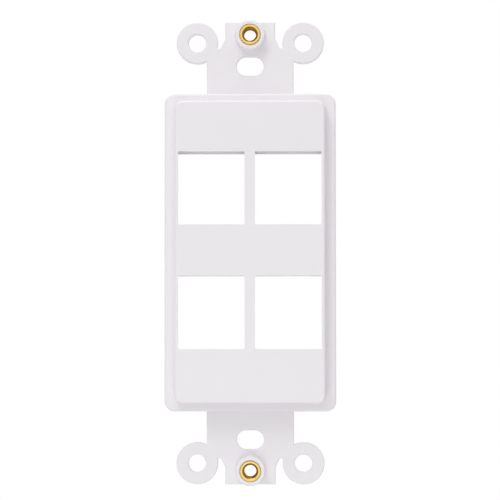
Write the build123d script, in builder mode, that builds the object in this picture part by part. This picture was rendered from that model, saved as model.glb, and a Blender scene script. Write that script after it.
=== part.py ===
# Keystone faceplate: a white four-port insert that stands behind the rectangular opening of a wallplate.
# It is one plastic moulding, with two knurled brass inserts for the wallplate's screws.
#
# Frame of the finished pieces: the wall is the plane Y = 0, the front faces -Y, X runs across and Z runs up.
# The origin is the centre of the mounting strap, on the wall.
#
# Sub-parts are drawn lying on their backs on the XY plane, X across and Y up the plate, with heights along Z.
# The last blocks stand them up against the wall. A height is measured forward from the wall, a depth back
# from the face. All sizes are in millimetres and all angles in degrees.

import os
from math import pi, radians, tan

from build123d import *

# Strap: the flat bar behind everything, with a tab at each end
strap_width = 19.4
strap_thickness = 1.6
strap_edge_chamfer = 0.2
tab_width = 11.2
tab_root_width = 13.1
tab_flare = 1.9
tab_margin = 3.13

# Ears: four round lugs on the strap's corners, which can be snapped off
ear_spacing_x = 23.64
ear_spacing_z = 93.76
ear_diameter = 9.3
ear_hole_diameter = 3.9
shoulder_drop = 1.08

# Slots for the wall box's screws, and the screws that hold the wallplate
box_screw_spacing = 83.34
box_slot_width = 6.05
box_slot_height = 4.2
plate_screw_spacing = 96.84
plate_screw_clearance = 3.7

# Flange: the wider step that stops behind the wallplate's opening
flange_width = 38.1
flange_length = 70.6
flange_height = 3.4
flange_corner_radius = 2.3
flange_edge_radius = 0.5
flange_floor = 1.6
skirt_wall = 1.2

# Raised face: the block that fills the wallplate's opening
face_width = 33.1
face_length = 66.7
face_height = 7.7
face_corner_radius = 1.8
face_edge_radius = 0.5
face_draft = 2.0
face_wall = 2.0
block_wall = 1.3
rib_thickness = 1.4

# Ports: two columns and two rows of openings, each with a pocket and two catches behind it.
# The two columns share the width of the face that the bar between them and the side margins leave.
port_bar = 2.33
port_side_margin = 0.785
port_height = 16.16
port_corner_radius = 0.25
port_side_draft = 3.0
port_pitch_z = 27.44
port_rise = 0.38
pocket_height = 19.8
pocket_side_step = 0.05
pocket_draft = 3.0
catch_depth = 8.2
top_catch_overhang = 0.02
bottom_catch_recess = 0.5
catch_lead_in = 0.5
housing_depth = 9.8
housing_wall = 1.2
housing_side_wall = 0.8

# Bosses: the round posts that carry the inserts
boss_diameter = 6.8
boss_height = 4.3
boss_draft = 3.0
boss_edge_radius = 0.3

# Inserts: brass sleeves with two bands of straight knurling and a locking groove between them
insert_diameter = 4.8
insert_length = 4.0
insert_stands_proud = 0.1
knurl_count = 22
knurl_depth = 0.22
knurl_land = 0.12
groove_width = 0.9
groove_depth = 0.45
bore_diameter = 2.7
mouth_diameter = 3.6

# Cuts run this far past the surface that they open
overrun = 1.0

# Heights and places that follow from the sizes
tab_end = plate_screw_spacing / 2 + tab_margin
shoulder = ear_spacing_z / 2 - shoulder_drop
flange_underside = flange_height - flange_floor
face_underside = face_height - face_wall
face_spread = 2 * (face_height - flange_height) * tan(radians(face_draft))
port_width = (face_width - port_bar) / 2 - port_side_margin
port_pitch_x = port_width + port_bar
catch_front = face_height - catch_depth
housing_rear = face_height - housing_depth
top_catch = port_height / 2 - top_catch_overhang
bottom_catch = -port_height / 2 - bottom_catch_recess
port_space_rear = housing_rear - overrun
port_rear_width = port_width + 2 * face_wall * tan(radians(port_side_draft))
pocket_front_width = port_rear_width + 2 * pocket_side_step
pocket_rear_width = pocket_front_width + 2 * (face_underside - port_space_rear) * tan(radians(pocket_draft))
insert_front = boss_height + insert_stands_proud
insert_rear = insert_front - insert_length

# Strap: bar, tabs and ears are one flat outline, with the ear holes and the box slots cut through
with BuildPart() as strap:
    with BuildSketch():
        Rectangle(strap_width, 2 * shoulder)
        with BuildLine():
            Polyline(
                (0, 0),
                (tab_root_width / 2, 0),
                (tab_root_width / 2, shoulder),
                (tab_width / 2, shoulder + tab_flare),
                (tab_width / 2, tab_end),
                (0, tab_end),
            )
            mirror(about=Plane.YZ)
        make_face()
        mirror(about=Plane.XZ)
        with GridLocations(ear_spacing_x, ear_spacing_z, 2, 2):
            Circle(ear_diameter / 2)
            Circle(ear_hole_diameter / 2, mode=Mode.SUBTRACT)
        with GridLocations(0, box_screw_spacing, 1, 2):
            SlotOverall(box_slot_width, box_slot_height, mode=Mode.SUBTRACT)
    extrude(amount=strap_thickness)
    chamfer(strap.faces().sort_by(Axis.Z)[-1].edges(), strap_edge_chamfer)

# Flange and raised face: the visible front, still solid behind
with BuildPart() as flange:
    with BuildSketch():
        RectangleRounded(flange_width, flange_length, flange_corner_radius)
    extrude(amount=flange_height)
    fillet(flange.faces().sort_by(Axis.Z)[-1].edges(), flange_edge_radius)

with BuildPart() as raised_face:
    with BuildSketch(Plane.XY.offset(flange_height)):
        RectangleRounded(face_width + face_spread, face_length + face_spread, face_corner_radius)
    extrude(amount=face_height - flange_height, taper=face_draft)
    fillet(raised_face.faces().sort_by(Axis.Z)[-1].edges(), face_edge_radius)

# Hollow: the space inside the skirt and behind the face, open to the wall
with BuildPart() as hollow:
    with BuildSketch(Plane.XY.offset(-overrun)):
        RectangleRounded(
            flange_width - 2 * skirt_wall,
            flange_length - 2 * skirt_wall,
            flange_corner_radius - skirt_wall,
        )
    extrude(amount=overrun + flange_underside)
    with BuildSketch(Plane.XY.offset(-overrun)):
        Rectangle(face_width - 2 * block_wall, face_length - 2 * block_wall)
    extrude(amount=overrun + face_underside)

# Housing: the walls round one row of ports, from inside the face to behind the wall
with BuildPart() as housing:
    with BuildSketch(Plane.XY.offset(housing_rear)):
        Rectangle(port_pitch_x + pocket_rear_width + 2 * housing_side_wall, pocket_height + 2 * housing_wall)
    extrude(amount=flange_underside + flange_floor / 2 - housing_rear)
    with BuildSketch():
        Rectangle(face_width - block_wall, pocket_height + 2 * housing_wall)
    extrude(amount=face_underside + face_wall / 2)

# Port opening: the hole in the face, whose sides part a little towards the back
with BuildPart() as port_opening:
    with BuildSketch(Plane.XZ):
        with BuildLine():
            Polyline(
                (0, face_underside),
                (port_rear_width / 2, face_underside),
                (port_width / 2, face_height),
                (port_width / 2, face_height + overrun),
                (0, face_height + overrun),
            )
            mirror(about=Plane.YZ)
        make_face()
    extrude(amount=port_height / 2, both=True)
    depth_edges = port_opening.faces().filter_by(Axis.Y).edges().filter_by(Axis.X, reverse=True)
    fillet(depth_edges, port_corner_radius)

# Port space: what one port leaves open, from its front opening to behind its two catches.
# Seen from the side it has the pocket and the catches, and seen from above it widens towards the back.
with BuildPart() as port_space:
    with BuildSketch(Plane.YZ):
        with BuildLine():
            Polyline(
                (-pocket_height / 2, face_underside),
                (pocket_height / 2, face_underside),
                (pocket_height / 2, catch_front),
                (top_catch, catch_front),
                (top_catch, housing_rear + catch_lead_in),
                (top_catch + catch_lead_in, housing_rear),
                (top_catch + catch_lead_in, port_space_rear),
                (bottom_catch - catch_lead_in, port_space_rear),
                (bottom_catch - catch_lead_in, housing_rear),
                (bottom_catch, housing_rear + catch_lead_in),
                (bottom_catch, catch_front),
                (-pocket_height / 2, catch_front),
                close=True,
            )
        make_face()
    extrude(amount=port_width, both=True)
    with BuildSketch(Plane.XZ):
        with BuildLine():
            Polyline(
                (0, face_underside),
                (pocket_front_width / 2, face_underside),
                (pocket_rear_width / 2, port_space_rear),
                (0, port_space_rear),
            )
            mirror(about=Plane.YZ)
        make_face()
    extrude(amount=pocket_height, both=True, mode=Mode.INTERSECT)
    add(port_opening.part)

# Boss: a tapered post with a rounded rim, rooted in the strap
with BuildPart() as boss:
    with BuildSketch():
        Circle(boss_diameter / 2)
    extrude(amount=strap_thickness)
    with BuildSketch(Plane.XY.offset(strap_thickness)):
        Circle(boss_diameter / 2)
    extrude(amount=boss_height - strap_thickness, taper=boss_draft)
    fillet(boss.faces().sort_by(Axis.Z)[-1].edges(), boss_edge_radius)

# Insert blank: the outside of a brass insert, and so also the shape of its seat in the boss
knurl_root = insert_diameter / 2 - knurl_depth
tooth_half_width = pi * knurl_root / knurl_count - knurl_land / 2
with BuildPart() as insert_blank:
    with BuildSketch(Plane.XY.offset(insert_rear)):
        Circle(knurl_root)
        with PolarLocations(knurl_root, knurl_count):
            Polygon(
                (knurl_depth, 0),
                (-knurl_depth, 2 * tooth_half_width),
                (-knurl_depth, -2 * tooth_half_width),
                align=None,
            )
    extrude(amount=insert_length)
    with BuildSketch(Plane.XY.offset(insert_rear + (insert_length - groove_width) / 2)):
        Circle(insert_diameter)
        Circle(insert_diameter / 2 - groove_depth, mode=Mode.SUBTRACT)
    extrude(amount=groove_width, mode=Mode.SUBTRACT)

# Faceplate: strap, flange, face, rib, housings and bosses, moulded as one piece and stood against the wall
with BuildPart(Plane.XZ) as faceplate:
    add(strap.part)
    add(flange.part)
    add(raised_face.part)
    add(hollow.part, mode=Mode.SUBTRACT)
    with BuildSketch(Plane.XZ):
        Rectangle(rib_thickness, face_length - block_wall)
    extrude(amount=face_underside + face_wall / 2)
    with Locations((0, port_rise)):
        with GridLocations(0, port_pitch_z, 1, 2):
            add(housing.part)
        with GridLocations(port_pitch_x, port_pitch_z, 2, 2):
            add(port_space.part, mode=Mode.SUBTRACT)
    with GridLocations(0, plate_screw_spacing, 1, 2):
        add(boss.part)
        add(insert_blank.part, mode=Mode.SUBTRACT)
        with Locations((0, 0, insert_rear)):
            Hole(plate_screw_clearance / 2, depth=insert_rear + overrun)

# Brass insert: the blank with its bore, and a countersunk mouth at each end
mouth_depth = (mouth_diameter - bore_diameter) / 2
with BuildPart() as insert:
    add(insert_blank.part)
    with BuildSketch(Plane.XZ):
        with BuildLine():
            Polyline(
                (0, insert_rear),
                (mouth_diameter / 2, insert_rear),
                (bore_diameter / 2, insert_rear + mouth_depth),
                (bore_diameter / 2, insert_front - mouth_depth),
                (mouth_diameter / 2, insert_front),
                (0, insert_front),
                close=True,
            )
        make_face()
    revolve(axis=Axis.Z, mode=Mode.SUBTRACT)

os.makedirs("parts", exist_ok=True)
faceplate.part.label = "faceplate"
export_step(faceplate.part, "parts/faceplate.step")
for name, side in (("lower_insert", -1), ("upper_insert", 1)):
    with BuildPart(Plane.XZ) as placed_insert:
        with Locations((0, side * plate_screw_spacing / 2)):
            add(insert.part)
    placed_insert.part.label = name
    export_step(placed_insert.part, f"parts/{name}.step")
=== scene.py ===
# %% [markdown]
# # A keystone faceplate
#
# The object is a white plastic insert for a wallplate: a raised face with four openings for snap-in
# jacks, a flange round it, and a flat strap behind with ears, slots and two bosses. Each boss holds a
# knurled brass sleeve with a screw thread. The construction comes from a CAD model, which is loaded first
# and stays where it is. This script gives the object its surfaces: it refines the moulding, turns the two
# sleeves, and makes the plastic, the brass, the light and the camera.

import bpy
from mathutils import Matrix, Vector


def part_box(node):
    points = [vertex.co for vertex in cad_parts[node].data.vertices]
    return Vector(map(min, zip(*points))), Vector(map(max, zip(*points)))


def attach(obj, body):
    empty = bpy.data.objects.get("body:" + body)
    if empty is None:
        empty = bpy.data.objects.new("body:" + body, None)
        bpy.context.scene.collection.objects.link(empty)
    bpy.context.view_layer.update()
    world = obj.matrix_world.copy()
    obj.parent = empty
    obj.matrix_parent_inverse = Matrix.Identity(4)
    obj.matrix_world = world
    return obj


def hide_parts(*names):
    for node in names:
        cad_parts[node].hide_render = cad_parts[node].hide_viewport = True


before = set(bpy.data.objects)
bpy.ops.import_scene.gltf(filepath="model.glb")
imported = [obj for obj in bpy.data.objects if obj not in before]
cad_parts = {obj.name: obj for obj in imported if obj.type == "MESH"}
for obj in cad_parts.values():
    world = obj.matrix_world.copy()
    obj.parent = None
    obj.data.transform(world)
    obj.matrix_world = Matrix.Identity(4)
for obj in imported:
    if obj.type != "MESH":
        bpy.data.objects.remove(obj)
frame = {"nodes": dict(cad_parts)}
print("CAD pieces:", ", ".join(frame["nodes"]))

# %% [markdown]
# ## The size to keep
#
# The finish must not make the object larger, and the eye doesn't notice a millimetre.

# %% Modules, and the scene brought up to date
from math import pi, radians

import bmesh
import bpy
from mathutils import Vector

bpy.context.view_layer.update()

# %% [markdown]
# ## Units
#
# Blender works in metres, but a maker of small plastic parts thinks in millimetres. Sizes below are
# written in millimetres and multiplied by `MM` where Blender needs metres.

# %% Millimetres
MM = 0.001


def point(x, y, z):
    """A place given in millimetres, as a vector in metres."""
    return Vector((x, y, z)) * MM


print("a millimetre is", MM, "of Blender's units")

# %% [markdown]
# ## The camera
#
# The photograph was taken from straight in front with a long lens, a little to the right of the centre
# and a little below it. The distance and the lens were found by matching the parallax between the strap,
# the flange, the raised face and the bosses, which stand at four different heights above the wall. A
# nearer camera with a wider lens would give the same size, but it would show more of the openings' walls.

# %% Camera at the photograph's place
camera_place = point(8.0, -416.0, -12.0)
camera_rise = 1.734
camera_turn = 1.117
camera_roll = 0.037
camera_lens = 133.9
camera_sensor = 36.0
nearest_seen = 10.0

camera = bpy.data.objects.new("camera", bpy.data.cameras.new("camera"))
camera.data.lens = camera_lens
camera.data.sensor_width = camera_sensor
camera.data.clip_start = nearest_seen * MM
camera.location = camera_place
camera.rotation_euler = (radians(90 + camera_rise), radians(camera_roll), radians(camera_turn))
bpy.context.scene.collection.objects.link(camera)
bpy.context.scene.camera = camera
print("camera", round(-camera_place.y / MM), "mm in front of the wall, lens", camera_lens, "mm")

# %% [markdown]
# ## Sums with sockets
#
# A procedural material is a drawing of formulas, and formulas read best as formulas. Made one node and
# one link at a time, a short sum takes ten lines and its meaning is lost. `Value` wraps one socket of a
# node tree, so that `1 - mask * 2` adds the Math nodes by itself.

# %% A socket that can stand in a sum
class Value:
    """A socket that can stand in a sum. Each operator adds one Math node."""

    def __init__(self, graph, socket):
        self.graph = graph
        self.socket = socket

    def __add__(self, other):
        return self.graph.math("ADD", self, other)

    def __sub__(self, other):
        return self.graph.math("SUBTRACT", self, other)

    def __mul__(self, other):
        return self.graph.math("MULTIPLY", self, other)

    def __truediv__(self, other):
        return self.graph.math("DIVIDE", self, other)

    def __rsub__(self, other):
        return self.graph.math("SUBTRACT", other, self)

    def __rtruediv__(self, other):
        return self.graph.math("DIVIDE", other, self)

    __radd__ = __add__
    __rmul__ = __mul__


print("sums are ready:", Value.__name__)

# %% [markdown]
# ## Trees with less typing
#
# `Graph` adds every other node, in one call each: it sets the node's settings first, because some of them
# change which sockets there are, and then fills the sockets with numbers, colours or links. It works in
# shader trees and in geometry trees, so the finishes and the shapes below are written in the same way.

# %% A node tree that is being built
class Graph:
    """A node tree that is being built."""

    def __init__(self, tree):
        self.tree = tree

    def node(self, kind, settings=None, inputs=None, output=0):
        """Adds a node, sets it up, fills its sockets and returns one of its outputs."""
        made = self.tree.nodes.new(kind)
        for name, setting in (settings or {}).items():
            if name == "stops":
                self.set_stops(made.color_ramp.elements, setting)
            else:
                setattr(made, name, setting)
        for name, value in (inputs or {}).items():
            self.fill(made.inputs[name], value)
        return Value(self, made.outputs[output]) if made.outputs else None

    def fill(self, socket, value):
        """Links a value to a socket, or writes a plain number, vector or colour on it."""
        if isinstance(value, Value):
            self.tree.links.new(value.socket, socket)
        else:
            socket.default_value = value

    def set_stops(self, elements, stops):
        """Gives a colour ramp its stops, each a place and a grey level."""
        while len(elements) < len(stops):
            elements.new(0.5)
        for element, (place, level) in zip(elements, stops):
            element.position = place
            element.color = (level, level, level, 1)

    def math(self, operation, *values):
        """One Math node."""
        return self.node("ShaderNodeMath", {"operation": operation}, dict(enumerate(values)))

    def split(self, vector):
        """The three parts of a vector."""
        parts = self.node("ShaderNodeSeparateXYZ", inputs={0: vector}).socket.node
        return [Value(self, part) for part in parts.outputs]

    def join(self, x, y, z):
        """A vector from its three parts."""
        return self.node("ShaderNodeCombineXYZ", inputs={0: x, 1: y, 2: z})

    def shift(self, vector, other):
        """The sum of two vectors."""
        return self.node("ShaderNodeVectorMath", {"operation": "ADD"}, {0: vector, 1: other})

    def mix(self, factor, first, second):
        """A colour between two others."""
        return self.node(
            "ShaderNodeMix", {"data_type": "RGBA"}, {0: factor, 6: first, 7: second}, output=2
        )


print("trees are ready:", Graph.__name__)

# %% [markdown]
# ## Helpers for materials
#
# Every finish below starts in the same way: an empty material with one Principled shader, and the place
# of the shaded point. A picture wrapped round the part would need a flat map of it, and would blur close
# up. Patterns that are worked out from the place have no seams, so the place is read from Object
# coordinates. They are turned into millimetres, and a pattern's scale then says how many times it repeats
# in a millimetre.

# %% Start a material, find the place, make noise
def new_material(name):
    """An empty material with a graph and a Principled shader on its output."""
    material = bpy.data.materials.new(name)
    material.use_nodes = True
    material.node_tree.nodes.clear()
    graph = Graph(material.node_tree)
    shader = graph.node("ShaderNodeBsdfPrincipled")
    graph.node("ShaderNodeOutputMaterial", inputs={"Surface": shader})
    return material, graph, shader.socket.node.inputs


def surface_place(graph):
    """Where a point of the surface lies, in millimetres."""
    place = graph.node("ShaderNodeTexCoord", output="Object")
    return graph.node(
        "ShaderNodeVectorMath", {"operation": "SCALE"}, {"Vector": place, "Scale": 1 / MM}
    )


def noise(graph, place, cycles, detail=2.0):
    """Smooth noise with so many cycles in a millimetre, from about 0 to 1."""
    return graph.node(
        "ShaderNodeTexNoise", inputs={"Vector": place, "Scale": cycles, "Detail": detail}
    )


def bump_map(graph, height, depth, strength):
    """Normals that lean as if the surface had this height, with the depth in millimetres."""
    return graph.node(
        "ShaderNodeBump", inputs={"Strength": strength, "Distance": depth * MM, "Height": height}
    )


print("helpers ready:", new_material.__name__, surface_place.__name__, noise.__name__, bump_map.__name__)

# %% [markdown]
# ## White moulded plastic
#
# The moulding is white ABS with a very slight lavender cast. Its front came off a fine satin tool: the
# gloss is soft, and close up the surface has a fine grain. Nothing on a new moulding is perfectly even,
# so the colour and the gloss drift a little over centimetres where the plastic flowed, and a few specks
# of dust lie on it. One flat white would do from afar, but close up and in a low light it would look like
# paper. So three sizes of noise make the grain, the ripple and the drift, and a speck lies wherever a
# point of a Voronoi pattern happens to touch the surface.

# %% Material: white plastic
plastic_dark = (0.835, 0.812, 0.84, 1)
plastic_light = (0.865, 0.845, 0.87, 1)
dust_colour = (0.42, 0.40, 0.42, 1)
dust_strength = 0.35
dust_edge = [(0.004, 1.0), (0.010, 0.0)]
grain_cycles = 7.0
ripple_cycles = 0.9
flow_cycles = 0.06
dust_cycles = 0.11
grain_share = 0.35
grain_depth = 0.05
grain_strength = 0.05
plastic_roughness = 0.34
duller_by_flow = 0.08
duller_by_grain = 0.06
plastic_ior = 1.5


def white_plastic():
    """Satin white ABS."""
    material, graph, shader = new_material("white_plastic")
    place = surface_place(graph)
    grain = noise(graph, place, grain_cycles)
    ripple = noise(graph, place, ripple_cycles)
    height = grain * grain_share + ripple * (1 - grain_share)
    flow = noise(graph, place, flow_cycles, detail=4.0)
    tone = graph.mix(flow, plastic_dark, plastic_light)
    cell = graph.node("ShaderNodeTexVoronoi", inputs={"Vector": place, "Scale": dust_cycles})
    speck = graph.node("ShaderNodeValToRGB", {"stops": dust_edge}, {0: cell})
    roughness = plastic_roughness + duller_by_flow * flow + duller_by_grain * grain

    graph.fill(shader["Base Color"], graph.mix(speck * dust_strength, tone, dust_colour))
    graph.fill(shader["Roughness"], roughness)
    graph.fill(shader["Normal"], bump_map(graph, height, grain_depth, grain_strength))
    shader["IOR"].default_value = plastic_ior
    return material


plastic = white_plastic()
print("material", plastic.name, "with", len(plastic.node_tree.nodes), "nodes")

# %% [markdown]
# ## Sizes of a sleeve
#
# Each sleeve is turned from brass bar. Two knurled bands hold it in the plastic, a groove between them
# locks it, and a 6-32 thread runs through it, countersunk at both ends. Length, diameter and place are
# read from the CAD sleeve, so that the new one fills the same seat. They could be typed in again, but a
# sleeve of the wrong size would then be easy to make and hard to see. The rest is the turner's own
# drawing.

# %% Read the CAD sleeve, and name the turner's sizes
sleeve_low, sleeve_high = (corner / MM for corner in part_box("upper_insert"))
screw_height = (sleeve_low.z + sleeve_high.z) / 2
sleeve_front = sleeve_low.y
sleeve_rear = sleeve_high.y
sleeve_middle = (sleeve_front + sleeve_rear) / 2
knurl_tip = sleeve_high.x

knurl_teeth = 22
knurl_height = 0.22
knurl_tooth_share = 0.404
knurl_root = knurl_tip - knurl_height
rim_chamfer = 0.1
groove_radius = 1.95
groove_width = 0.9
bore_radius = 1.35
mouth_radius = 1.8
inch = 25.4
threads_in_an_inch = 32
thread_pitch = inch / threads_in_an_inch

print("sleeve axis at Z", round(screw_height, 3), "mm, tip radius", round(knurl_tip, 3), "mm")

# %% [markdown]
# ## Brass
#
# The sleeves are free-cutting brass, left bright. The turning tool leaves fine rings on the end face,
# which spread the highlight sideways. In the thread the metal looks brown, because light is thrown from
# flank to flank and much of it is lost there. The bounces of light in the bore give a part of that shade,
# and the rest is painted shade: a brown mask that is worked out from the distance to the axis plus half
# the distance to the sleeve's middle, so it grows from the mouth inwards. Metal turns pale where it is
# seen at a low angle, and a tint keeps it golden there. Two materials could each have an axis of their
# own, but both sleeves stand equally far above and below the centre, so the absolute height brings both to
# one axis, and one material serves them both.

# %% Material: brass
brass_dark = (0.54, 0.37, 0.095, 1)
brass_light = (0.62, 0.45, 0.15, 1)
brass_at_low_angles = (0.95, 0.6, 0.2, 1)
brass_roughness = 0.2
duller_by_rings = 0.1
duller_by_stain = 0.06
duller_in_thread = 0.15
# Painted shade: this brown stands in for the light that is lost between the thread's flanks.
thread_shade_brown = (0.2, 0.075, 0.004, 1)
thread_shade_strength = 0.85
thread_taper = 0.5
thread_within = 2.48
thread_beyond = 2.74
stain_cycles = 0.8
ring_cycles = 26.0
ring_lean = 0.7
ring_depth = 0.02
ring_strength = 0.25


def brass():
    """Bright turned brass, with rings round the axis of each sleeve, a duller thread and painted shade in
    it.
    """
    material, graph, shader = new_material("brass")
    place = surface_place(graph)
    across, depth, up = graph.split(place)
    above_axis = graph.math("ABSOLUTE", up) - screw_height
    radius = graph.math("SQRT", across * across + above_axis * above_axis)

    rings = graph.node(
        "ShaderNodeTexNoise",
        {"noise_dimensions": "1D"},
        {"W": radius + depth * ring_lean, "Scale": ring_cycles, "Detail": 3.0},
    )
    stain = noise(graph, place, stain_cycles, detail=3.0)
    polished = graph.mix(stain, brass_dark, brass_light)
    from_middle = graph.math("ABSOLUTE", depth - sleeve_middle)
    # A mask of the thread, strongest deep in the bore: it carries the painted shade and the duller gloss.
    thread = graph.node(
        "ShaderNodeMapRange",
        inputs={
            "Value": radius + from_middle * thread_taper,
            "From Min": thread_within,
            "From Max": thread_beyond,
            "To Min": 1.0,
            "To Max": 0.0,
        },
    )
    roughness = brass_roughness + duller_by_rings * rings + duller_by_stain * stain

    # The base colour is browned by the painted shade of the thread.
    graph.fill(shader["Base Color"], graph.mix(thread * thread_shade_strength, polished, thread_shade_brown))
    graph.fill(shader["Roughness"], roughness + duller_in_thread * thread)
    graph.fill(shader["Normal"], bump_map(graph, rings, ring_depth, ring_strength))
    shader["Metallic"].default_value = 1.0
    shader["Specular Tint"].default_value = brass_at_low_angles
    return material


brass_metal = brass()
print("material", brass_metal.name, "with", len(brass_metal.node_tree.nodes), "nodes")

# %% [markdown]
# ## Trees that make shapes
#
# A Geometry Nodes tree is a recipe for a shape. Its inputs have names and can be set for each use, so one
# tree makes both sleeves, and another presses every round mark. A loop over vertices could do the same,
# but a tree can be opened and its sizes turned by hand. `shape_tree` starts such a tree, and `run_tree`
# sets its inputs, keeps the result as a plain mesh and takes the modifier off again.

# %% Start a tree, and run one
def shape_tree(name, sizes):
    """An empty geometry tree with the named inputs, and those inputs as values."""
    tree = bpy.data.node_groups.new(name, "GeometryNodeTree")
    tree.interface.new_socket("Geometry", in_out="INPUT", socket_type="NodeSocketGeometry")
    for title, kind in sizes.items():
        tree.interface.new_socket(title, in_out="INPUT", socket_type="NodeSocket" + kind)
    tree.interface.new_socket("Geometry", in_out="OUTPUT", socket_type="NodeSocketGeometry")
    graph = Graph(tree)
    sockets = tree.nodes.new("NodeGroupInput").outputs
    return graph, {socket.name: Value(graph, socket) for socket in sockets if socket.name}


def end_tree(graph, shape, material):
    """Makes instances real, gives the shape its material and ends the tree."""
    real = graph.node("GeometryNodeRealizeInstances", inputs={0: shape})
    painted = graph.node("GeometryNodeSetMaterial", inputs={"Geometry": real, "Material": material})
    graph.node("NodeGroupOutput", inputs={0: painted})
    return graph.tree


def run_tree(piece, tree, sizes):
    """Runs a tree on a piece with the given sizes, and leaves a plain mesh."""
    modifier = piece.modifiers.new(tree.name, "NODES")
    modifier.node_group = tree
    for socket in tree.interface.items_tree:
        if socket.name in sizes:
            modifier[socket.identifier] = sizes[socket.name]
    evaluated = piece.evaluated_get(bpy.context.evaluated_depsgraph_get())
    mesh = bpy.data.meshes.new_from_object(evaluated)
    piece.modifiers.clear()
    piece.data = mesh


print("helpers ready:", shape_tree.__name__, end_tree.__name__, run_tree.__name__)

# %% [markdown]
# ## The outline of a sleeve
#
# A lathe makes its shape from an outline, and so does this tree. The outline is one closed row of points,
# each with a radius and a place along the axis. Two marks go with each point: `tooth` says how much of a
# knurl tooth stands on it, and `climb` is 1 where the row belongs to the thread. A thread is an outline
# too, a zigzag that repeats once for each pitch, and it starts one pitch early because it climbs by one
# pitch on its way round. A real thread has flat crests and roots, so the zigzag has them too: each of its
# points is a share of the pitch and a share of the thread's depth.

# %% Draw the outline
thread_shape = [(0.0, 0.0), (0.25, 0.0), (0.41, 0.5), (0.5625, 1.0), (0.6875, 1.0), (0.84, 0.5)]
rim_tooth = 0.7


def sleeve_outline():
    """The outline's points: radius, place along the axis, tooth and climb."""
    groove_ends = (sleeve_middle + groove_width / 2, sleeve_middle - groove_width / 2)
    outline = [
        (mouth_radius, sleeve_rear, 0, 0),
        (knurl_root, sleeve_rear, 1, 0),
        (knurl_root, groove_ends[0], 1, 0),
        (groove_radius, groove_ends[0], 0, 0),
        (groove_radius, groove_ends[1], 0, 0),
        (knurl_root, groove_ends[1], 1, 0),
        (knurl_root, sleeve_front + rim_chamfer, 1, 0),
        (knurl_root - rim_chamfer / 2, sleeve_front, rim_tooth, 0),
        (mouth_radius, sleeve_front, 0, 0),
    ]
    turn = sleeve_front - thread_pitch
    while turn < sleeve_rear:
        for along, depth in thread_shape:
            radius = bore_radius + depth * (mouth_radius - bore_radius)
            outline.append((radius, turn + along * thread_pitch, 0, 1))
        turn += thread_pitch
    return outline


def outline_mesh(outline):
    """The outline as a mesh of loose points, with its two marks as attributes."""
    mesh = bpy.data.meshes.new("sleeve_outline")
    mesh.from_pydata([point(radius, along, 0) for radius, along, _, _ in outline], [], [])
    for place, name in ((2, "tooth"), (3, "climb")):
        mark = mesh.attributes.new(name, "FLOAT", "POINT")
        mark.data.foreach_set("value", [float(row[place]) for row in outline])
    return mesh


outline = sleeve_outline()
print("outline of", len(outline), "points")

# %% [markdown]
# ## Teeth and countersinks
#
# A knurling wheel has pressed sharp teeth into the bar, with narrow flats between them. Once round the
# sleeve the radius rises and falls 22 times, so the turn is multiplied by the number of teeth, and its
# fraction says where a point lies between two flats. The countersinks are cones of 45 degrees: the closer
# to an end, the wider the hole. Both could be cut out with cutters, but a formula for the radius is exact
# and takes no time.

# %% How high a tooth stands, how wide a countersink is
def tooth_height(graph, size, turned):
    """The height of the knurling at a part of a turn, from tip to flat."""
    from_tip = graph.math("ABSOLUTE", graph.math("FRACT", turned * size["Teeth"]) - 0.5)
    tooth = graph.math("MAXIMUM", 1 - from_tip / size["Tooth Share"], 0.0)
    return tooth * size["Tooth Height"]


def countersink_radius(graph, size, along):
    """The radius that the bore and its two countersinks leave open at a place along the axis."""
    from_end = graph.math("MINIMUM", along - size["Front"], size["Rear"] - along)
    return graph.math("MAXIMUM", size["Mouth Depth"] - from_end, 0.0) + size["Bore Radius"]


print(knurl_teeth, "teeth of", knurl_height, "mm, countersunk to", mouth_radius, "mm")

# %% [markdown]
# ## The tree that turns a sleeve
#
# A flat grid is bent round the axis: its columns go round, and each of its rows follows one point of the
# outline. Teeth are added to the radius, the thread's rows climb as they go round, and both stop at the
# ends of the sleeve. The last column then meets the first, one pitch further on, and merging closes the
# skin. A Screw modifier could sweep an outline too, but it can't raise teeth on one part of it and climb
# on another.

# %% Turn the outline
merge_distance = 0.001


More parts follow.
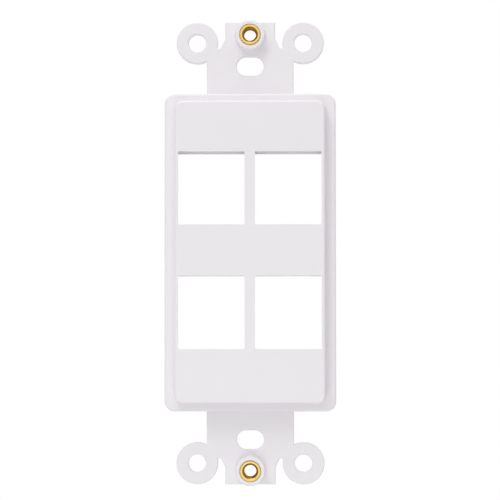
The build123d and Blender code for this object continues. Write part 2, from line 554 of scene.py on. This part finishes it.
def sleeve_tree(material):
    """The tree that turns an outline into a knurled and threaded sleeve."""
    sizes = {
        "Around": "Int",
        "Teeth": "Int",
        "Tooth Height": "Float",
        "Tooth Share": "Float",
        "Pitch": "Float",
        "Front": "Float",
        "Rear": "Float",
        "Bore Radius": "Float",
        "Mouth Depth": "Float",
        "Centre": "Vector",
    }
    graph, size = shape_tree("turned_sleeve", sizes)
    outline = size["Geometry"]
    rows = graph.node("GeometryNodeAttributeDomainSize", inputs={0: outline})
    grid = graph.node(
        "GeometryNodeMeshGrid", inputs={"Vertices X": size["Around"] + 1, "Vertices Y": rows + 1}
    )
    number = graph.node("GeometryNodeInputIndex")
    column = graph.math("FLOOR", number / (rows + 1))
    row = graph.math("MODULO", number - column * (rows + 1), rows)
    turned = column / size["Around"]

    def of_outline(kind, field):
        """What the outline says for this row."""
        return graph.node(
            "GeometryNodeSampleIndex",
            {"data_type": kind},
            {"Geometry": outline, "Value": field, "Index": row},
        )

    def mark(name):
        """One of the outline's marks for this row."""
        field = graph.node("GeometryNodeInputNamedAttribute", {"data_type": "FLOAT"}, {"Name": name})
        return of_outline("FLOAT", field)

    position = graph.node("GeometryNodeInputPosition")
    radius, along, _ = graph.split(of_outline("FLOAT_VECTOR", position))
    climb = mark("climb")
    along = along + climb * size["Pitch"] * turned
    along = graph.math("MINIMUM", graph.math("MAXIMUM", along, size["Front"]), size["Rear"])

    radius = radius + tooth_height(graph, size, turned) * mark("tooth")
    radius = graph.math("MAXIMUM", radius, countersink_radius(graph, size, along) * climb)
    angle = turned * (2 * pi)
    bent = graph.join(radius * graph.math("SINE", angle), along, radius * graph.math("COSINE", angle))
    placed = graph.shift(bent, size["Centre"])
    skin = graph.node("GeometryNodeSetPosition", inputs={"Geometry": grid, "Position": placed})
    closed = graph.node(
        "GeometryNodeMergeByDistance", inputs={"Geometry": skin, "Distance": merge_distance * MM}
    )
    return end_tree(graph, closed, material)


turning = sleeve_tree(brass_metal)
print("tree", turning.name, "with", len(turning.nodes), "nodes")

# %% [markdown]
# ## Two sleeves
#
# The same sleeve sits in both bosses. Mirroring the upper one would make the lower one's thread
# left-handed, and no screw would fit it, so each is turned by itself from the one recipe. A crease is
# kept wherever two faces meet at more than 28 degrees, which keeps the teeth and the thread crisp and the
# rings round.

# %% Turn both sleeves
sleeve_around = 220
crease_above = 28.0


def open_edges(mesh):
    """How many edges don't join exactly two faces."""
    skin = bmesh.new()
    skin.from_mesh(mesh)
    count = sum(1 for edge in skin.edges if len(edge.link_faces) != 2)
    skin.free()
    return count


def make_sleeve(name, node, side):
    """One sleeve, in the place of its CAD node."""
    sleeve = bpy.data.objects.new(name, outline_mesh(outline))
    bpy.context.scene.collection.objects.link(sleeve)
    sizes = {
        "Around": sleeve_around,
        "Teeth": knurl_teeth,
        "Tooth Height": knurl_height * MM,
        "Tooth Share": knurl_tooth_share,
        "Pitch": thread_pitch * MM,
        "Front": sleeve_front * MM,
        "Rear": sleeve_rear * MM,
        "Bore Radius": bore_radius * MM,
        "Mouth Depth": (mouth_radius - bore_radius) * MM,
        "Centre": point(0, 0, side * screw_height),
    }
    run_tree(sleeve, turning, sizes)
    sleeve.data.shade_smooth()
    sleeve.data.set_sharp_from_angle(angle=radians(crease_above))
    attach(sleeve, "root")
    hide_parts(node)
    print(name, len(sleeve.data.polygons), "faces,", open_edges(sleeve.data), "open edges")


make_sleeve("upper_sleeve", "upper_insert", 1)
make_sleeve("lower_sleeve", "lower_insert", -1)

# %% [markdown]
# ## The moulding
#
# The CAD model already has the right shape, so the moulding starts as a copy of it. It could be modelled
# again from its sizes, but then the two could drift apart. The copy comes as loose triangles: they are
# merged into one closed skin, and the triangles of each flat face are joined, so that the shading has
# nothing to trip over.

# %% Copy the CAD moulding as one closed skin
flat_angle = 0.2


def closed_copy(node):
    """A merged copy of a CAD node's mesh, with its flat faces in one piece each."""
    mesh = frame["nodes"][node].data.copy()
    skin = bmesh.new()
    skin.from_mesh(mesh)
    bmesh.ops.remove_doubles(skin, verts=skin.verts, dist=merge_distance * MM)
    bmesh.ops.dissolve_limit(
        skin, angle_limit=radians(flat_angle), verts=skin.verts, edges=skin.edges
    )
    skin.to_mesh(mesh)
    skin.free()
    mesh.materials.clear()
    mesh.materials.append(plastic)
    return mesh


plate = bpy.data.objects.new("moulded_plate", closed_copy("faceplate"))
bpy.context.scene.collection.objects.link(plate)
print("copy:", len(plate.data.polygons), "faces,", open_edges(plate.data), "open edges")

# %% [markdown]
# ## Rounded edges
#
# No edge of a moulding is perfectly sharp, and the thin line of light that runs along each edge tells the
# eye so. A Bevel modifier rounds every edge that turns by more than 28 degrees, apart from the toothed
# seats of the sleeves: their edges are shorter than the rounding. A weight on each edge says which ones
# it takes. The shader has a bevel as well, but it only bends the light, and the mesh that leaves Blender
# stays sharp.

# %% Round the edges
edge_rounding = 0.05
rounding_segments = 2
seat_radius = 2.6


def in_a_seat(place):
    """Whether a point lies in the seat of a sleeve."""
    return Vector((place.x, abs(place.z) - screw_height * MM)).length < seat_radius * MM


def round_edges(moulding):
    """Rounds the sharp edges outside the seats."""
    skin = bmesh.new()
    skin.from_mesh(moulding.data)
    weight = skin.edges.layers.float.new("bevel_weight_edge")
    taken = 0
    for edge in skin.edges:
        middle = (edge.verts[0].co + edge.verts[1].co) / 2
        if edge.calc_face_angle(0.0) > radians(crease_above) and not in_a_seat(middle):
            edge[weight] = 1.0
            taken += 1
    skin.to_mesh(moulding.data)
    skin.free()
    rounding = moulding.modifiers.new("edge_rounding", "BEVEL")
    rounding.width = edge_rounding * MM
    rounding.segments = rounding_segments
    rounding.limit_method = "WEIGHT"
    rounding.use_clamp_overlap = True
    evaluated = moulding.evaluated_get(bpy.context.evaluated_depsgraph_get())
    mesh = bpy.data.meshes.new_from_object(evaluated)
    moulding.modifiers.clear()
    moulding.data = mesh
    print("rounded", taken, "edges:", len(mesh.polygons), "faces,", open_edges(mesh), "open edges")


round_edges(plate)

# %% [markdown]
# ## Pressed marks
#
# Two kinds of small round marks are left on such a moulding. Where a sleeve stands in its boss, the
# plastic stops a little short of the rim, so that each gap between two teeth shows as a dark dot. And the
# pins that push the moulding out of its tool leave shallow discs on the back of the strap and in the
# cored hollows. Painted discs would be simpler, but light from another side would give them away, so they
# are real. One tree makes both kinds: a cone is set on every point of a grid and cut out of the moulding.

# %% The tree that presses round marks
mark_sides = 64


def mark_tree(material):
    """The tree that cuts a grid of round marks into a moulding."""
    sizes = {
        "Columns": "Int",
        "Rows": "Int",
        "Spacing X": "Float",
        "Spacing Z": "Float",
        "Place": "Vector",
        "Turn": "Vector",
        "Deep Radius": "Float",
        "Wide Radius": "Float",
        "Length": "Float",
    }
    graph, size = shape_tree("pressed_marks", sizes)
    grid = graph.node(
        "GeometryNodeMeshGrid",
        inputs={
            "Vertices X": size["Columns"],
            "Vertices Y": size["Rows"],
            "Size X": size["Spacing X"],
            "Size Y": size["Spacing Z"],
        },
    )
    standing = graph.node(
        "GeometryNodeTransform",
        inputs={"Geometry": grid, "Translation": size["Place"], "Rotation": (pi / 2, 0, 0)},
    )
    cone = graph.node(
        "GeometryNodeMeshCone",
        inputs={
            "Vertices": mark_sides,
            "Radius Top": size["Wide Radius"],
            "Radius Bottom": size["Deep Radius"],
            "Depth": size["Length"],
        },
    )
    cutters = graph.node(
        "GeometryNodeInstanceOnPoints",
        inputs={"Points": standing, "Instance": cone, "Rotation": size["Turn"]},
    )
    solid_cutters = graph.node("GeometryNodeRealizeInstances", inputs={0: cutters})
    cut = graph.node(
        "GeometryNodeMeshBoolean",
        {"operation": "DIFFERENCE", "solver": "EXACT"},
        {"Mesh 1": size["Geometry"], "Mesh 2": solid_cutters},
    )
    return end_tree(graph, cut, material)


pressing = mark_tree(plastic)
print("tree", pressing.name, "with", len(pressing.nodes), "nodes")

# %% [markdown]
# ## Where the marks go
#
# The ring of gaps is pressed into the top of each boss, a little wider at the surface than at its floor.
# The pins pushed beside both slots of the strap, and on the floors of the four outer hollows, where the
# plastic grips the cores of its tool. Each mark could be placed by hand, but each kind stands in a grid
# that is centred on the moulding, so one call places them all. A cutter reaches as far out of the surface
# as into it, because a cut that only touches a face can fail.

# %% Press the marks
towards_front = (pi / 2, 0, 0)
towards_back = (-pi / 2, 0, 0)
boss_top = sleeve_front + rim_chamfer
gap_depth = 0.22
gap_radius = 2.46
gap_flare = 0.12
pin_depth = 0.05
strap_back = 0.0
strap_pins_x, strap_pins_z = 13.6, 83.34
strap_pin_radius = 1.25
hollow_floor = -5.7
hollow_pins_x, hollow_pins_z = 16.9, 57.2
hollow_pin_radius = 1.5


def press(columns, rows, spacing_x, spacing_z, surface, turn, depth, radius, flare=0.0):
    """Presses a grid of marks into one surface."""
    into = depth if turn == towards_front else -depth
    sizes = {
        "Columns": columns,
        "Rows": rows,
        "Spacing X": spacing_x * MM,
        "Spacing Z": spacing_z * MM,
        "Place": point(0, surface + into, 0),
        "Turn": turn,
        "Deep Radius": (radius - flare) * MM,
        "Wide Radius": (radius + flare) * MM,
        "Length": 2 * depth * MM,
    }
    run_tree(plate, pressing, sizes)
    faces = len(plate.data.polygons)
    print(columns * rows, "marks:", faces, "faces,", open_edges(plate.data), "open edges")


press(1, 2, 0, 2 * screw_height, boss_top, towards_front, gap_depth, gap_radius, gap_flare)
press(2, 2, strap_pins_x, strap_pins_z, strap_back, towards_back, pin_depth, strap_pin_radius)
press(2, 2, hollow_pins_x, hollow_pins_z, hollow_floor, towards_back, pin_depth, hollow_pin_radius)

# %% [markdown]
# ## Shading
#
# A moulding has flat faces with narrow roundings between them. Shaded flat, every rounding shows as a
# strip. Shaded smooth, the roundings bend the light on the large faces too. A Weighted Normal modifier
# lets each corner follow its largest face, so the flats look flat and the roundings round. It changes no
# point of the mesh, so it can stay on the finished piece.

# %% Shade the skin
def shade(piece):
    """Shades flat faces flat, round ones round, and creases the edges between them."""
    piece.data.shade_smooth()
    piece.data.set_sharp_from_angle(angle=radians(crease_above))
    weighting = piece.modifiers.new("weighted_normals", "WEIGHTED_NORMAL")
    weighting.keep_sharp = True


shade(plate)
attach(plate, "root")
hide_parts("faceplate")
print("moulding:", len(plate.data.polygons), "faces")

# %% [markdown]
# ## The white surroundings
#
# The photograph has a pure white background with no shadow on it. A white wall behind the object would
# need so much light to look pure white that the plastic would glare too. So the world is plain white for
# the camera and in reflections, by the kind of ray that asks. To the surfaces it is a lamp, which is
# brightest above and behind and dim below and in front, as a white tent with a lit backdrop is.

# %% The white world
tent_colour = (1.0, 0.99, 1.0, 1)
light_from_above = 0.7
light_from_behind = 0.5


def white_world():
    """White to the camera and in reflections, and a soft light from above and behind."""
    world = bpy.data.worlds.new("white_studio")
    world.use_nodes = True
    world.node_tree.nodes.clear()
    graph = Graph(world.node_tree)
    rays = graph.node("ShaderNodeLightPath").socket.node.outputs
    white_to = ("Is Camera Ray", "Is Glossy Ray", "Is Transmission Ray")
    camera_ray, glossy_ray, clear_ray = (Value(graph, rays[name]) for name in white_to)
    _, behind, above = graph.split(graph.node("ShaderNodeTexCoord", output="Generated"))
    strength = (0.5 + 0.5 * above) * light_from_above + (0.5 + 0.5 * behind) * light_from_behind
    white = graph.node("ShaderNodeBackground", inputs={"Color": (1, 1, 1, 1), "Strength": 1.0})
    lamp = graph.node("ShaderNodeBackground", inputs={"Color": tent_colour, "Strength": strength})
    factor = graph.math("MINIMUM", camera_ray + glossy_ray + clear_ray, 1.0)
    mixed = graph.node("ShaderNodeMixShader", inputs={0: factor, 1: lamp, 2: white})
    graph.node("ShaderNodeOutputWorld", inputs={"Surface": mixed})
    return world


bpy.context.scene.world = white_world()
print("light from above", light_from_above, "and from behind", light_from_behind)

# %% [markdown]
# ## Four soft lamps
#
# The photograph's light comes mostly from above and a little from the left: the flange is dark to the
# right of the raised face and below it. One small lamp would draw those shadows sharp and black. The key
# lamp and the top lamp are as wide as a softbox, and draw them soft. A still wider lamp behind the camera
# opens them up, and a weak one from below reaches the undersides.

# %% The soft lamps
def soft_lamp(name, place, size, power):
    """A square area lamp that looks at the object."""
    lamp = bpy.data.objects.new(name, bpy.data.lights.new(name, "AREA"))
    lamp.data.size = size * MM
    lamp.data.energy = power
    lamp.location = place
    lamp.rotation_euler = (-place).to_track_quat("-Z", "Y").to_euler()
    bpy.context.scene.collection.objects.link(lamp)
    print("lamp", name, power, "W")


soft_lamp("key", point(-250, -540, 580), size=260, power=1.3)
soft_lamp("top", point(0, -220, 821), size=330, power=1.15)
soft_lamp("front", point(-30, -845, 20), size=700, power=1.06)
soft_lamp("low", point(-30, -450, -320), size=300, power=0.6)

# %% [markdown]
# ## The floor
#
# A floor lies below the object, out of the photograph's frame, and takes its shadow in the other views. A
# plain disc would end in a hard line against the white world, so its rim fades: the further out, the
# clearer it is.

# %% The floor
floor_drop = 340.0
floor_radius = 600.0
floor_fade = 0.45
floor_sides = 96
floor_colour = (0.9, 0.9, 0.9, 1)


def fading_paint():
    """A pale matt paint that grows clear towards the rim of the floor."""
    material = bpy.data.materials.new("floor_paint")
    material.use_nodes = True
    material.node_tree.nodes.clear()
    graph = Graph(material.node_tree)
    across, depth, _ = graph.split(surface_place(graph))
    radius = graph.math("SQRT", across * across + depth * depth) / floor_radius
    fading = [(floor_fade, 0.0), (1.0, 1.0)]
    fade = graph.node("ShaderNodeValToRGB", {"stops": fading}, {0: radius})
    paint = graph.node("ShaderNodeBsdfDiffuse", inputs={"Color": floor_colour})
    clear = graph.node("ShaderNodeBsdfTransparent")
    mixed = graph.node("ShaderNodeMixShader", inputs={0: fade, 1: paint, 2: clear})
    graph.node("ShaderNodeOutputMaterial", inputs={"Surface": mixed})
    return material


def pale_floor():
    """A round pale floor that fades into the background at its rim."""
    disc = bmesh.new()
    bmesh.ops.create_circle(disc, cap_ends=True, segments=floor_sides, radius=floor_radius * MM)
    bmesh.ops.translate(disc, verts=disc.verts, vec=point(0, 0, -floor_drop))
    mesh = bpy.data.meshes.new("floor")
    disc.to_mesh(mesh)
    disc.free()
    mesh.materials.append(fading_paint())
    floor = bpy.data.objects.new("floor", mesh)
    bpy.context.scene.collection.objects.link(floor)
    return floor


pale_floor()
print("floor", floor_drop, "mm below the centre")

# %% [markdown]
# ## Finish
#
# The view transform is set to Standard, so that a colour renders as it is written: the default one would
# turn white plastic light grey.

# %% Colours as written
bpy.context.scene.view_settings.view_transform = "Standard"
print("view transform:", bpy.context.scene.view_settings.view_transform)
